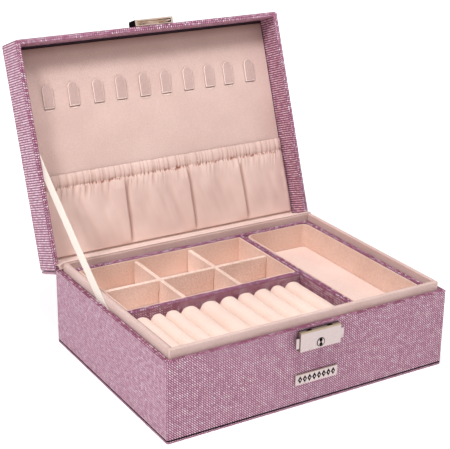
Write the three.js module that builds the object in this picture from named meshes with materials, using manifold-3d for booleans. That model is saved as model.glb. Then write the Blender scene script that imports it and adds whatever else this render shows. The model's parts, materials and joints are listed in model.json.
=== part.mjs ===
// A lockable jewellery case: a fabric-covered case with a lift-out tray, and a lid on a flexible back hinge.
// Millimetres, +X right, +Y back, +Z up. The origin is the centre of the underside.
// The lid is modelled shut and then swung open about its hinge axis to the angle where its stay is taut.
import * as THREE from "three";
import { mergeVertices } from "three/addons/utils/BufferGeometryUtils.js";
import Module from "manifold-3d";

const wasm = await Module();
wasm.setup();

// ---------- Driving dimensions ----------
const HALF_W = 127.5; // half the case's width, left to right
const HALF_D = 96.25; // half the case's depth, front to back
const GAP = 0.3; // clearance between pieces that touch
const CORNER_R = 2; // upright corners of the case and the lid

const BASE_T = 2; // board that the case stands on
const WALL_Z0 = 3.1; // lower edge of the walls, above a shadow line
const RIM_Z = 65.5; // upper edge of the walls
const WALL_T = 4.7;
const FLOOR_Z1 = 5.1; // top of the hardboard floor
const PAD_T = 2; // padded floor of the lower compartment

const COLLAR_T = 3.5; // lining boards that stand above the rim
const COLLAR_TOP = 73;
const COLLAR_R = 1.2;

const TRAY_GAP = 0.6; // play between the tray and the collar
const TRAY_Z0 = 41.2;
const TRAY_TOP = 66.8;
const TRAY_WALL = 5;
const TRAY_FLOOR = 2.4;
const LINER_T = 1.2;
const LINER_TOP = 66.5;
const LONG_DIVIDER = [42.6, 48.6]; // x range of the covered wall beside the right compartment
const RING_DIVIDER = [-13, -6.7]; // y range of the covered wall behind the ring rolls
const CELL_DIVIDER_T = 3.7;
const CELL_TOP = 65.2;
const CELL_COLUMNS = [-60.9, -9.15]; // x of the two dividers that run front to back
const CELL_ROW = 37.5; // y of the divider that runs left to right
const TRAY_CORNER_R = 6;

const ROLL_COUNT = 10;
const ROLL_GAP = 0.5;
const ROLL_TOP = 64;

const LID_Z0 = 65.8;
const LID_Z1 = 98.3;
const LID_WALL = 4.2;
const LID_TOP_T = 4;
const PANEL_Z = 88; // face of the lining panel inside the shut lid
const PANEL_T = 2.1;
const LID_OPEN = THREE.MathUtils.degToRad(109.5);
const HINGE_Y = 95.67;
const HINGE_Z = 64.43;

const HOOK_X = [-99, -75.5, -52.3, -30.5, -7.5, 13.7, 36.5, 58.5, 78.3, 101];
const HOOK_W = 9;
const HOOK_FREE_Y = -58;
const HOOK_SLIT_Y = [-39.4, -37.5];

const POCKET_HALF_W = 122.4;
const STAY_X = -122.95; // plane of the stay ribbon
const STAY_W = 11.3;
const STAY_T = 0.4;
const STAY_CASE = [5, 57.4]; // y and z of its lower end, in its slot
const STAY_LID = [-8.5, 78]; // y and z of its upper end, in the shut lid

const LOCK_X = 1.7; // centre of the lock, the hasp and the name plate
const LOCK_HALF_W = 18.5;
const LOCK_Z = [47.9, 64.1];
const LOCK_Y = [-101, -97.55]; // outer face and open back of the lock cover
const LOCK_T = 0.7; // sheet of the lock cover
const CATCH_X = 9.45; // distance of each hasp hook from the lock's centre
const KEY_Z = 53;

// ---------- Materials ----------
const finish = (color, roughness, metalness = 0) =>
  new THREE.MeshStandardMaterial({ color, roughness, metalness });

const GLITTER = () => finish(0xb88a9f, 0.5);
const VELVET = () => finish(0xe5c5bc, 0.95);
const SATIN = () => finish(0xeac8be, 0.7);
const RIBBON = () => finish(0xf0e4da, 0.6);
const BOARD = () => finish(0x8a6a5c, 0.9);
const FOAM = () => finish(0xf0e9dc, 0.95);
const NICKEL = () => finish(0xdbcaca, 0.25, 1);
const BRASS = () => finish(0xc9a77c, 0.3, 1);
const STEEL = () => finish(0x9a9a9c, 0.35, 1);

// ---------- Solid helpers ----------
// A closed geometry as a solid that can be joined and cut.
function solid(geometry) {
  const bare = geometry.clone();
  bare.deleteAttribute("normal");
  bare.deleteAttribute("uv");
  const merged = mergeVertices(bare, 1e-4);
  return new wasm.Manifold(
    new wasm.Mesh({
      numProp: 3,
      vertProperties: new Float32Array(merged.attributes.position.array),
      triVerts: new Uint32Array(merged.index.array),
    }),
  );
}

// The solid's surface as a geometry again.
function surface(manifold) {
  const mesh = manifold.getMesh();
  const geometry = new THREE.BufferGeometry();
  geometry.setAttribute("position", new THREE.BufferAttribute(mesh.vertProperties, 3));
  geometry.setIndex(new THREE.BufferAttribute(mesh.triVerts, 1));
  return geometry.toNonIndexed();
}

const join = (...parts) => surface(parts.map(solid).reduce((a, b) => a.add(b)));
const cut = (whole, ...tools) => surface(tools.map(solid).reduce((a, b) => a.subtract(b), solid(whole)));
const overlap = (a, b) => surface(solid(a).intersect(solid(b)));

// A box given by its range on each axis.
function box([x0, x1], [y0, y1], [z0, z1]) {
  const geometry = new THREE.BoxGeometry(x1 - x0, y1 - y0, z1 - z0);
  return geometry.translate((x0 + x1) / 2, (y0 + y1) / 2, (z0 + z1) / 2);
}

// A rectangle with round corners, as a shape.
function roundedShape([x0, x1], [y0, y1], r) {
  const shape = new THREE.Shape();
  shape.moveTo(x0 + r, y0);
  shape.lineTo(x1 - r, y0);
  shape.absarc(x1 - r, y0 + r, r, -Math.PI / 2, 0);
  shape.lineTo(x1, y1 - r);
  shape.absarc(x1 - r, y1 - r, r, 0, Math.PI / 2);
  shape.lineTo(x0 + r, y1);
  shape.absarc(x0 + r, y1 - r, r, Math.PI / 2, Math.PI);
  shape.lineTo(x0, y0 + r);
  shape.absarc(x0 + r, y0 + r, r, Math.PI, 1.5 * Math.PI);
  return shape;
}

// A shape in x and y, raised along Z.
function raised(shape, [z0, z1], curveSegments = 5) {
  const geometry = new THREE.ExtrudeGeometry(shape, { depth: z1 - z0, bevelEnabled: false, curveSegments });
  return geometry.translate(0, 0, z0);
}

const roundedPlate = (xs, ys, zs, r) => raised(roundedShape(xs, ys, r), zs);

// A shape in y and z, drawn out along X.
function alongX(shape, [x0, x1], curveSegments = 5) {
  const geometry = new THREE.ExtrudeGeometry(shape, { depth: x1 - x0, bevelEnabled: false, curveSegments });
  const turn = new THREE.Matrix4().makeBasis(
    new THREE.Vector3(0, 1, 0),
    new THREE.Vector3(0, 0, 1),
    new THREE.Vector3(1, 0, 0),
  );
  return geometry.applyMatrix4(turn).translate(x0, 0, 0);
}

// A shape in x and z, drawn out along Y.
function alongY(shape, [y0, y1], curveSegments = 5) {
  const geometry = new THREE.ExtrudeGeometry(shape, { depth: y1 - y0, bevelEnabled: false, curveSegments });
  const turn = new THREE.Matrix4().makeBasis(
    new THREE.Vector3(1, 0, 0),
    new THREE.Vector3(0, 0, 1),
    new THREE.Vector3(0, -1, 0),
  );
  return geometry.applyMatrix4(turn).translate(0, y1, 0);
}

// An outline through points, anticlockwise.
const outline = (points) => new THREE.Shape(points.map(([a, b]) => new THREE.Vector2(a, b)));

// A ring between two round-cornered rectangles, raised along Z.
function ring(halfOuter, halfInner, zs, rOuter, rInner, centre = [0, 0]) {
  const range = (half, axis) => [centre[axis] - half[axis], centre[axis] + half[axis]];
  const shape = roundedShape(range(halfOuter, 0), range(halfOuter, 1), rOuter);
  shape.holes.push(roundedShape(range(halfInner, 0), range(halfInner, 1), rInner));
  return raised(shape, zs);
}

// Adds a named mesh to its group.
function place(group, name, geometry, material) {
  const mesh = new THREE.Mesh(geometry, material);
  mesh.name = name;
  group.add(mesh);
  return mesh;
}

// ---------- Case ----------
const INNER_W = HALF_W - WALL_T;
const INNER_D = HALF_D - WALL_T;
const COLLAR_W = INNER_W - GAP;
const COLLAR_D = INNER_D - GAP;
const COLLAR_IN_W = COLLAR_W - COLLAR_T;
const COLLAR_IN_D = COLLAR_D - COLLAR_T;
const FLOOR_PAD_Z = [FLOOR_Z1 + GAP, FLOOR_Z1 + GAP + PAD_T];

function buildBase(group) {
  const board = roundedPlate([-HALF_W, HALF_W], [-HALF_D, HALF_D], [0, BASE_T], CORNER_R);
  place(group, "base_board", board, GLITTER());
  const floor = box([-COLLAR_W, COLLAR_W], [-COLLAR_D, COLLAR_D], [BASE_T + GAP, FLOOR_Z1]);
  place(group, "floor_board", floor, BOARD());
  const padW = COLLAR_IN_W - GAP;
  const padD = COLLAR_IN_D - GAP;
  place(group, "lower_floor_pad", roundedPlate([-padW, padW], [-padD, padD], FLOOR_PAD_Z, 1), VELVET());
}

// The covered walls, with a shallow recess inside the left one where the stay runs down.
function buildWalls(group) {
  const walls = ring([HALF_W, HALF_D], [INNER_W, INNER_D], [WALL_Z0, RIM_Z], CORNER_R, 0.4);
  const recess = box(
    [-INNER_W - 0.8, -INNER_W + 1],
    [STAY_CASE[0] - 8, STAY_CASE[0] + 24],
    [STAY_CASE[1] - 7, RIM_Z + 1],
  );
  place(group, "case_walls", cut(walls, recess), GLITTER());
}

// One lining board: its section has a rounded top edge.
function collarSection(from, to) {
  const z0 = FLOOR_Z1 + GAP;
  const shape = new THREE.Shape();
  shape.moveTo(from, z0);
  shape.lineTo(to, z0);
  shape.lineTo(to, COLLAR_TOP - COLLAR_R);
  shape.absarc(to - COLLAR_R, COLLAR_TOP - COLLAR_R, COLLAR_R, 0, Math.PI / 2);
  shape.lineTo(from + COLLAR_R, COLLAR_TOP);
  shape.absarc(from + COLLAR_R, COLLAR_TOP - COLLAR_R, COLLAR_R, Math.PI / 2, Math.PI);
  return shape;
}

function buildCollar(group) {
  const endY = COLLAR_IN_D - GAP;
  const boards = {
    collar_front: alongX(collarSection(-COLLAR_D, -COLLAR_IN_D), [-COLLAR_W, COLLAR_W]),
    collar_back: alongX(collarSection(COLLAR_IN_D, COLLAR_D), [-COLLAR_W, COLLAR_W]),
    collar_left: alongY(collarSection(-COLLAR_W, -COLLAR_IN_W), [-endY, endY]),
    collar_right: alongY(collarSection(COLLAR_IN_W, COLLAR_W), [-endY, endY]),
  };
  for (const [name, geometry] of Object.entries(boards)) place(group, name, geometry, VELVET());
}

// Two upright boards inside the lower compartment, which the tray rests on.
function buildLedges(group) {
  const zs = [FLOOR_PAD_Z[1] + GAP, TRAY_Z0 - GAP];
  const outer = COLLAR_IN_W - GAP;
  const depth = [-COLLAR_IN_D + 1, COLLAR_IN_D - 1];
  place(group, "tray_ledge_left", box([-outer, -outer + 3.5], depth, zs), VELVET());
  place(group, "tray_ledge_right", box([outer - 3.5, outer], depth, zs), VELVET());
}

// ---------- Tray ----------
const TRAY_W = COLLAR_IN_W - TRAY_GAP;
const TRAY_D = COLLAR_IN_D - TRAY_GAP;
const BAY_W = TRAY_W - TRAY_WALL;
const BAY_D = TRAY_D - TRAY_WALL;
const BAY_Z = TRAY_Z0 + TRAY_FLOOR; // top of the tray's own floor
const CELL_X = [-BAY_W + GAP, LONG_DIVIDER[0] - GAP];
const CELL_Y = [RING_DIVIDER[1] + GAP, BAY_D - GAP];
const RIGHT_X = [LONG_DIVIDER[1] + GAP, BAY_W - GAP];
const RIGHT_Y = [-BAY_D + GAP, BAY_D - GAP];
const TRAY_PAD_Z = [BAY_Z + GAP, BAY_Z + GAP + 1.2];

function buildTrayShell(group) {
  const shell = cut(
    roundedPlate([-TRAY_W, TRAY_W], [-TRAY_D, TRAY_D], [TRAY_Z0, TRAY_TOP], 1.5),
    box([-BAY_W, BAY_W], [-BAY_D, BAY_D], [BAY_Z, TRAY_TOP + 5]),
  );
  place(group, "tray_shell", shell, GLITTER());
  const long = box(LONG_DIVIDER, [-BAY_D + GAP, BAY_D - GAP], [BAY_Z + GAP, TRAY_TOP]);
  place(group, "long_divider", long, GLITTER());
  const cross = box([-BAY_W + GAP, LONG_DIVIDER[0] - GAP], RING_DIVIDER, [BAY_Z + GAP, TRAY_TOP]);
  place(group, "ring_divider", cross, GLITTER());
}

// A thin lining that follows the inside of a compartment.
function liner(xs, ys, r) {
  const centre = [(xs[0] + xs[1]) / 2, (ys[0] + ys[1]) / 2];
  const outer = [(xs[1] - xs[0]) / 2, (ys[1] - ys[0]) / 2];
  const inner = outer.map((half) => half - LINER_T);
  return ring(outer, inner, [BAY_Z + GAP, LINER_TOP], r, r - LINER_T + 0.2, centre);
}

// Ranges shrunk by the same amount at both ends.
const inset = ([a, b], by) => [a + by, b - by];

function buildLiners(group) {
  const padInset = LINER_T + GAP;
  place(group, "cell_liner", liner(CELL_X, CELL_Y, 1), VELVET());
  place(group, "cell_floor_pad", box(inset(CELL_X, padInset), inset(CELL_Y, padInset), TRAY_PAD_Z), VELVET());
  place(group, "right_liner", liner(RIGHT_X, RIGHT_Y, TRAY_CORNER_R), VELVET());
  const pad = roundedPlate(
    inset(RIGHT_X, padInset),
    inset(RIGHT_Y, padInset),
    TRAY_PAD_Z,
    TRAY_CORNER_R - LINER_T,
  );
  place(group, "right_floor_pad", pad, VELVET());
}

// The cell dividers lock together with half-depth slots where they cross.
function buildCellDividers(group) {
  const half = CELL_DIVIDER_T / 2;
  const slot = half + GAP;
  const zs = [TRAY_PAD_Z[1] + GAP, CELL_TOP];
  const middle = (zs[0] + zs[1]) / 2;
  const rowY = [CELL_ROW - half, CELL_ROW + half];
  const ends = inset(CELL_Y, LINER_T + GAP);
  CELL_COLUMNS.forEach((x, i) => {
    const column = cut(
      box([x - half, x + half], ends, zs),
      box([x - 5, x + 5], [CELL_ROW - slot, CELL_ROW + slot], [middle - GAP / 2, CELL_TOP + 5]),
    );
    place(group, "cell_divider_" + ["left", "right"][i], column, VELVET());
  });
  const slots = CELL_COLUMNS.map((x) =>
    box([x - slot, x + slot], [CELL_ROW - 5, CELL_ROW + 5], [zs[0] - 5, middle + GAP / 2]),
  );
  const row = cut(box(inset(CELL_X, LINER_T + GAP), rowY, zs), ...slots);
  place(group, "cell_cross_divider", row, VELVET());
}

// Foam rolls that hold rings between them: straight sides and a round top.
function buildRolls(group) {
  const pitch = (CELL_X[1] - CELL_X[0]) / ROLL_COUNT;
  const r = (pitch - ROLL_GAP) / 2;
  const ys = [-BAY_D + GAP, RING_DIVIDER[0] - GAP];
  for (let i = 0; i < ROLL_COUNT; i++) {
    const x = CELL_X[0] + (i + 0.5) * pitch;
    const shape = new THREE.Shape();
    shape.moveTo(x - r, BAY_Z + GAP);
    shape.lineTo(x + r, BAY_Z + GAP);
    shape.lineTo(x + r, ROLL_TOP - r);
    shape.absarc(x, ROLL_TOP - r, r, 0, Math.PI);
    const name = "ring_roll_" + String(i + 1).padStart(2, "0");
    place(group, name, alongY(shape, ys, 5), VELVET());
  }
}

// ---------- Lid, modelled shut ----------
const LID_IN_W = HALF_W - LID_WALL;
const LID_IN_D = HALF_D - LID_WALL;

function buildLidShell(group) {
  const shell = cut(
    roundedPlate([-HALF_W, HALF_W], [-HALF_D, HALF_D], [LID_Z0, LID_Z1], CORNER_R),
    box([-LID_IN_W, LID_IN_W], [-LID_IN_D, LID_IN_D], [LID_Z0 - 5, LID_Z1 - LID_TOP_T]),
  );
  place(group, "lid_shell", shell, GLITTER());
  const padW = LID_IN_W - 0.6;
  const padD = LID_IN_D - 0.6;
  const padZ = [PANEL_Z + PANEL_T + GAP, LID_Z1 - LID_TOP_T - GAP];
  place(group, "lid_pad", box([-padW, padW], [-padD, padD], padZ), FOAM());
}

function buildLidPanel(group) {
  const w = LID_IN_W - GAP;
  const d = LID_IN_D - GAP;
  const slits = HOOK_X.map((x) =>
    box([x - HOOK_W / 2 - 0.4, x + HOOK_W / 2 + 0.4], HOOK_SLIT_Y, [PANEL_Z - 1, PANEL_Z + PANEL_T + 1]),
  );
  const panel = cut(box([-w, w], [-d, d], [PANEL_Z, PANEL_Z + PANEL_T]), ...slits);
  place(group, "lid_panel", panel, VELVET());
}

// A flat tab that stands a little off the panel, its root tucked through a slit.
function buildNecklaceHooks(group) {
  const root = PANEL_Z + PANEL_T;
  const side = outline([
    [HOOK_FREE_Y, PANEL_Z - 2.4],
    [-38.6, PANEL_Z - 1.5],
    [-37.9, PANEL_Z - 0.8],
    [-37.9, root],
    [-39, root],
    [-39, PANEL_Z - 0.3],
    [-39.3, PANEL_Z - 0.45],
    [HOOK_FREE_Y, PANEL_Z - 1.3],
  ]);
  const r = HOOK_W / 2;
  HOOK_X.forEach((x, i) => {
    const plan = new THREE.Shape();
    plan.moveTo(x + r, HOOK_FREE_Y + r);
    plan.lineTo(x + r, HOOK_SLIT_Y[1]);
    plan.lineTo(x - r, HOOK_SLIT_Y[1]);
    plan.lineTo(x - r, HOOK_FREE_Y + r);
    plan.absarc(x, HOOK_FREE_Y + r, r, Math.PI, 2 * Math.PI);
    const hook = overlap(alongX(side, [x - r, x + r]), raised(plan, [PANEL_Z - 5, root + 1], 5));
    place(group, "necklace_hook_" + String(i + 1).padStart(2, "0"), hook, VELVET());
  });
}

// The gathered pocket: a header with a channel for its elastic, and a fuller part below.
function buildPocket(group) {
  const top = 18.5;
  const seam = 28.5;
  const end = 87;
  const back = PANEL_Z - GAP;
  const body = outline([
    [top, back],
    [top, back - 3],
    [seam, back - 2.6],
    [seam + 12, back - 5.2],
    [end - 10, back - 6],
    [end, back - 3],
    [end, back],
  ].reverse());
  const channel = [top + 1.6, top + 8.4];
  body.holes.push(roundedShape(channel, [back - 2.2, back - 0.7], 0.4));
  place(group, "pocket_cloth", alongX(body, [-POCKET_HALF_W, POCKET_HALF_W]), SATIN());
  const elastic = box([-POCKET_HALF_W + 1, POCKET_HALF_W - 1], inset(channel, GAP), [back - 1.9, back - 1]);
  place(group, "pocket_elastic", elastic, FOAM());
}

// A padded board on the outside of the lid's back.
function buildSpineBoard(group) {
  const y0 = HALF_D + GAP;
  const t = 2.4;
  const shape = outline([
    [y0, LID_Z0 + 1.8],
    [y0 + t, LID_Z0 + 1.8],
    [y0 + t, LID_Z1 - 1.6],
    [y0 + t - 1.2, LID_Z1 - 0.3],
    [y0, LID_Z1],
  ]);
  place(group, "lid_spine_board", alongX(shape, [-HALF_W + 0.5, HALF_W - 0.5]), GLITTER());
}

// The hasp: a cast box on the lid's front, open below, with two hooks that drop into the lock.
function buildHasp(group) {
  const outerX = [LOCK_X - LOCK_HALF_W, LOCK_X + LOCK_HALF_W];
  const back = -HALF_D - GAP;
  const front = back - 5.6;
  const zs = [66.2, 79];
  const section = outline([
    [front, zs[0]],
    [back, zs[0]],
    [back, zs[1]],
    [front + 1.4, zs[1]],
    [front, zs[1] - 1.4],
  ]);
  const hollow = box([LOCK_X - 16.5, LOCK_X + 16.5], [front + 1.4, back - 0.9], [zs[0] - 5, zs[0] + 6]);
  place(group, "hasp_plate", cut(alongX(section, outerX), hollow), NICKEL());
  for (const side of [-1, 1]) {
    const hook = outline([
      [6.45, 57],
      [11.25, 57],
      [11.25, zs[0] + 5.7],
      [7.65, zs[0] + 5.7],
      [7.65, 58.4],
      [6.45, 58.4],
    ].map(([x, z]) => [side * x, z]));
    const geometry = alongY(hook, [-98.75, -97.85]).translate(LOCK_X, 0, 0);
    place(group, side < 0 ? "hasp_hook_left" : "hasp_hook_right", geometry, BRASS());
  }
}

// ---------- Stay and hinge covers, as they lie with the lid open ----------
// Where a point of the shut lid, given as y and z, lies once the lid is open.
function opened([y, z]) {
  const u = y - HINGE_Y;
  const v = z - HINGE_Z;
  const c = Math.cos(LID_OPEN);
  const s = Math.sin(LID_OPEN);
  return [HINGE_Y + u * c + v * s, HINGE_Z - u * s + v * c];
}

function buildStay(group) {
  const end = opened(STAY_LID);
  const run = new THREE.Vector2(end[0] - STAY_CASE[0], end[1] - STAY_CASE[1]);
  const ribbon = box([-STAY_T / 2, STAY_T / 2], [0, run.length()], [-STAY_W / 2, STAY_W / 2]);
  ribbon.rotateX(run.angle()).translate(STAY_X, STAY_CASE[0], STAY_CASE[1]);
  place(group, "stay_ribbon", ribbon, RIBBON());
}

// The covering that crosses the hinge on the outside, and the lining that crosses it inside.
function buildHingeCovers(group) {
  const face = HALF_D + GAP;
  const outside = outline([
    [face, 48],
    [face + 0.6, 48],
    [face + 0.6, 61.6],
    [face + 1.2, 62.2],
    [face + 1.05, 62.75],
    [face + 0.25, 63],
    [face, 62.6],
  ]);
  place(group, "hinge_spine", alongX(outside, [-HALF_W + 1, HALF_W - 1]), GLITTER());
  const lidEnd = opened([87, PANEL_Z - 0.4]);
  const inside = outline([
    [COLLAR_D + 0.3, COLLAR_TOP - 3],
    [COLLAR_D + 0.9, COLLAR_TOP - 3],
    [COLLAR_D + 1.2, COLLAR_TOP - 0.4],
    [99, 68.6],
    [118, 62.2],
    [lidEnd[0] - 0.3, lidEnd[1]],
    [lidEnd[0] - 0.9, lidEnd[1] + 0.3],
    [117.6, 63],
    [99.2, 69.3],
    [COLLAR_D + 0.9, COLLAR_TOP + 0.9],
    [COLLAR_IN_D + 0.5, COLLAR_TOP + 0.9],
    [COLLAR_IN_D + 0.5, COLLAR_TOP + 0.3],
    [COLLAR_D + 0.3, COLLAR_TOP + 0.3],
  ]);
  place(group, "hinge_liner", alongX(inside, [-COLLAR_W, COLLAR_W]), VELVET());
}

// ---------- Lock and name plate ----------
const KEY_R = 3.5;
const SLOT_HALF = 2.5; // half the width of each hook slot in the lock's top
const TAB_Y = [-99.95, -99.05]; // plane of the sliding catches
const SPRING_X = [7, 11.3]; // where each return spring lies, from the lock's centre
const SPRING_Z = 50.6;
const SPRING_R = 0.65;

// The fixed plate behind the lock, with two posts that the springs push against.
function buildLockBack(group) {
  const xs = [LOCK_X - LOCK_HALF_W, LOCK_X + LOCK_HALF_W];
  const plate = box(xs, [-97.25, -HALF_D - GAP], LOCK_Z);
  const posts = [-1, 1].map((side) => {
    const x = LOCK_X + side * 6.3;
    return box([x - 0.4, x + 0.4], [-99.9, -97], [SPRING_Z - 1, SPRING_Z + 1]);
  });
  place(group, "lock_backplate", join(plate, ...posts), STEEL());
}

// The pressed cover: bevelled top, two hook slots, side openings for the tabs, a hole for the key.
function buildLockCover(group) {
  const [front, back] = LOCK_Y;
  const [z0, z1] = LOCK_Z;
  const bevel = 1;
  const section = outline([
    [front, z0 + 0.5],
    [front + 0.5, z0],
    [back, z0],
    [back, z1],
    [front + bevel, z1],
    [front, z1 - bevel],
  ]);
  const body = alongX(section, [LOCK_X - LOCK_HALF_W, LOCK_X + LOCK_HALF_W]);
  const inner = LOCK_HALF_W - LOCK_T;
  const hollow = box([LOCK_X - inner, LOCK_X + inner], [front + LOCK_T, back + 1], inset(LOCK_Z, LOCK_T));
  const slots = [-1, 1].map((side) => {
    const x = LOCK_X + side * CATCH_X;
    return box([x - SLOT_HALF, x + SLOT_HALF], [back - 1.9, back + 1], [z1 - 2, z1 + 1]);
  });
  const sides = box([LOCK_X - 30, LOCK_X + 30], [back - 2.9, back - 0.4], [51, 60.2]);
  const keyhole = new THREE.CylinderGeometry(KEY_R + 0.25, KEY_R + 0.25, 3, 24);
  keyhole.translate(LOCK_X, front, KEY_Z);
  place(group, "lock_cover", cut(body, hollow, ...slots, sides, keyhole), NICKEL());
}

// The key cylinder: a round face with a keyway, a neck and an oval cam.
function buildKeyCylinder(group) {
  const [front] = LOCK_Y;
  const disc = (r, y0, y1, sides) =>
    new THREE.CylinderGeometry(r, r, y1 - y0, sides).translate(0, (y0 + y1) / 2, 0);
  const keyway = box([-0.6, 0.6], [front - 1, front + 0.4], [-1.7, 1.7]);
  const face = cut(disc(KEY_R, front - 0.2, front + 0.9, 24), keyway);
  const neck = disc(1.2, front + 0.7, TAB_Y[1] - 0.4, 12);
  const cam = box([-1.5, 1.5], TAB_Y, [-3.8, 3.8]);
  place(group, "key_cylinder", join(face, neck, cam).translate(LOCK_X, 0, KEY_Z), NICKEL());
}

// A side tab: a finger pad outside, and inside a plate with a catch lip above and a stop arm below.
function buildTab(group, side) {
  const plate = outline([
    [4.5, 52.2],
    [11.6, 52.2],
    [11.6, 49.4],
    [16.8, 49.4],
    [16.8, 51.3],
    [19.2, 51.3],
    [19.2, 59.8],
    [16.8, 59.8],
    [16.8, 60.1],
    [5.2, 60.1],
    [5.2, 58.7],
    [11.6, 58.7],
    [11.6, 53.8],
    [4.5, 53.8],
  ].map(([x, z]) => [side * x, z]));
  const along = (a, b) => [Math.min(side * a, side * b), Math.max(side * a, side * b)];
  const lip = box(along(5.2, 7), [TAB_Y[0], -97.85], [58.7, 60.1]);
  const pad = box(along(LOCK_HALF_W + GAP, 21.8), [-100.15, -98.25], [51.3, 59.8]);
  const name = side < 0 ? "left_tab" : "right_tab";
  const tab = join(alongY(plate, TAB_Y), lip, pad).translate(LOCK_X, 0, 0);
  place(group, name, tab, NICKEL());
}

// A small coil spring that pushes each tab outward.
function buildTabSpring(group, side) {
  const turns = 4;
  const steps = turns * 8;
  const points = [];
  for (let i = 0; i <= steps; i++) {
    const t = i / steps;
    const angle = 2 * Math.PI * turns * t;
    const x = LOCK_X + side * (SPRING_X[0] + 0.2 + (SPRING_X[1] - SPRING_X[0] - 0.2) * t);
    const y = -98.6 + SPRING_R * Math.cos(angle);
    const z = SPRING_Z + SPRING_R * Math.sin(angle);
    points.push(new THREE.Vector3(x, y, z));
  }
  const wire = new THREE.Shape();
  wire.absarc(0, 0, 0.17, 0, 2 * Math.PI);
  const coil = new THREE.ExtrudeGeometry(wire, {
    extrudePath: new THREE.CatmullRomCurve3(points),
    steps,
    curveSegments: 3,
    bevelEnabled: false,
  });
  place(group, side < 0 ? "left_tab_spring" : "right_tab_spring", coil, STEEL());
}

function buildNamePlate(group) {
  const face = -HALF_D - GAP;
  const section = outline([
    [face - 1, 18.9],
    [face - 0.6, 18.5],
    [face, 18.5],
    [face, 27.8],
    [face - 0.6, 27.8],
    [face - 1, 27.4],
  ]);
  place(group, "front_plate", alongX(section, [LOCK_X - 19.5, LOCK_X + 19.5]), NICKEL());
}

// ---------- Assembly ----------
const jewelleryCase = new THREE.Group();
buildBase(jewelleryCase);
buildWalls(jewelleryCase);
buildCollar(jewelleryCase);
buildLedges(jewelleryCase);
buildStay(jewelleryCase);
buildHingeCovers(jewelleryCase);
buildLockBack(jewelleryCase);
buildLockCover(jewelleryCase);
buildKeyCylinder(jewelleryCase);
for (const side of [-1, 1]) {
  buildTab(jewelleryCase, side);
  buildTabSpring(jewelleryCase, side);
}
buildNamePlate(jewelleryCase);

const tray = new THREE.Group();
buildTrayShell(tray);
buildLiners(tray);
buildCellDividers(tray);
buildRolls(tray);
jewelleryCase.add(tray);

const lid = new THREE.Group();
buildLidShell(lid);
buildLidPanel(lid);
buildNecklaceHooks(lid);
buildPocket(lid);
buildSpineBoard(lid);
buildHasp(lid);
for (const piece of lid.children) piece.geometry.translate(0, -HINGE_Y, -HINGE_Z);
lid.position.set(0, HINGE_Y, HINGE_Z);
lid.rotation.x = -LID_OPEN;
jewelleryCase.add(lid);

export default jewelleryCase;
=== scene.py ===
"""The visual model of the lockable jewellery case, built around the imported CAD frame.

Metres, in the CAD frame: +X right, +Y back, +Z up. The lid rests open. Pieces of the lid are made as they lie
with the lid shut, in "shut" coordinates, and then swung open with the matrix LID.
"""
import json
import math
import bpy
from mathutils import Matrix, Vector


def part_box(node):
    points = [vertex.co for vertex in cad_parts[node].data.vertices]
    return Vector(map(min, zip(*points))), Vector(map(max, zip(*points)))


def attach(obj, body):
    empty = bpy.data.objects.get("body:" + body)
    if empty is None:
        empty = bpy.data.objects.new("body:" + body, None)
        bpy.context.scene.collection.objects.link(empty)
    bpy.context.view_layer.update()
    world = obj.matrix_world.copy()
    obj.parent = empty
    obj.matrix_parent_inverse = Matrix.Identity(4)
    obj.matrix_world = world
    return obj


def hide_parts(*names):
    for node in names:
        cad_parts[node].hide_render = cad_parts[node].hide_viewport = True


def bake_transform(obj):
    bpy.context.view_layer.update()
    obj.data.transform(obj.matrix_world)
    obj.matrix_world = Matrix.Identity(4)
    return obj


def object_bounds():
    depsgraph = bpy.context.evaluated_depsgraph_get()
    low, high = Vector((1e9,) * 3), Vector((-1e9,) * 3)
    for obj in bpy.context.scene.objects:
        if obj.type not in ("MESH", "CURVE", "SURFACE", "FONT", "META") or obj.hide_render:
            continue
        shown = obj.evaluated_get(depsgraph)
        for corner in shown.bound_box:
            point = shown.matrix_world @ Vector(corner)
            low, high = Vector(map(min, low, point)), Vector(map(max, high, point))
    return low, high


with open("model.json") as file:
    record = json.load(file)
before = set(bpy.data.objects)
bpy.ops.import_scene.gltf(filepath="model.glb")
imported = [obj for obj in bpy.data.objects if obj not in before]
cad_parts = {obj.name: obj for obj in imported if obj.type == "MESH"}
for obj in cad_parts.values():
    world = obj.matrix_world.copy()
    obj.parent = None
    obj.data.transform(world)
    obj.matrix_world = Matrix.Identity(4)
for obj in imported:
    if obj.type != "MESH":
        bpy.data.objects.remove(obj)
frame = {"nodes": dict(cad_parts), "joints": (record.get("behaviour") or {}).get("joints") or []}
CAD_BOUNDS = [[float(c) for c in corner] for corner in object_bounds()]

import bmesh
import bpy
import numpy as np
from mathutils import Matrix, Vector, noise

MM = 0.001
NODES = frame["nodes"]

# ---------------------------------------------------------------- lid frame
HINGE = next(j for j in frame["joints"] if j["name"] == "lid_hinge")
HINGE_POS = Vector(HINGE["pos_m"])
OPEN_ANGLE = -math.radians(HINGE["range_deg"][0])
LID = (Matrix.Translation(HINGE_POS) @ Matrix.Rotation(-OPEN_ANGLE, 4, "X")
       @ Matrix.Translation(-HINGE_POS))
UNLID = LID.inverted()
SAME = Matrix.Identity(4)


def shut_box(node):
    """Lowest and highest corner of a lid node, in shut coordinates."""
    co = np.array([UNLID @ v.co for v in NODES[node].data.vertices])
    return Vector(co.min(0)), Vector(co.max(0))


# ---------------------------------------------------------------- camera, light and stage
def srgb(r, g, b):
    """An 8-bit sRGB colour as linear RGBA."""
    def linear(c):
        c /= 255
        return c / 12.92 if c <= 0.04045 else ((c + 0.055) / 1.055) ** 2.4
    return (linear(r), linear(g), linear(b), 1.0)


CAMERA_POSITION = (-0.4935, -0.7737, 0.4663)
CAMERA_FORWARD = (0.48528, 0.79735, -0.35879)
CAMERA_ROLL = math.radians(-0.77)
CAMERA_LENS = 98.4  # mm, for a sensor 36 mm wide


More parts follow.
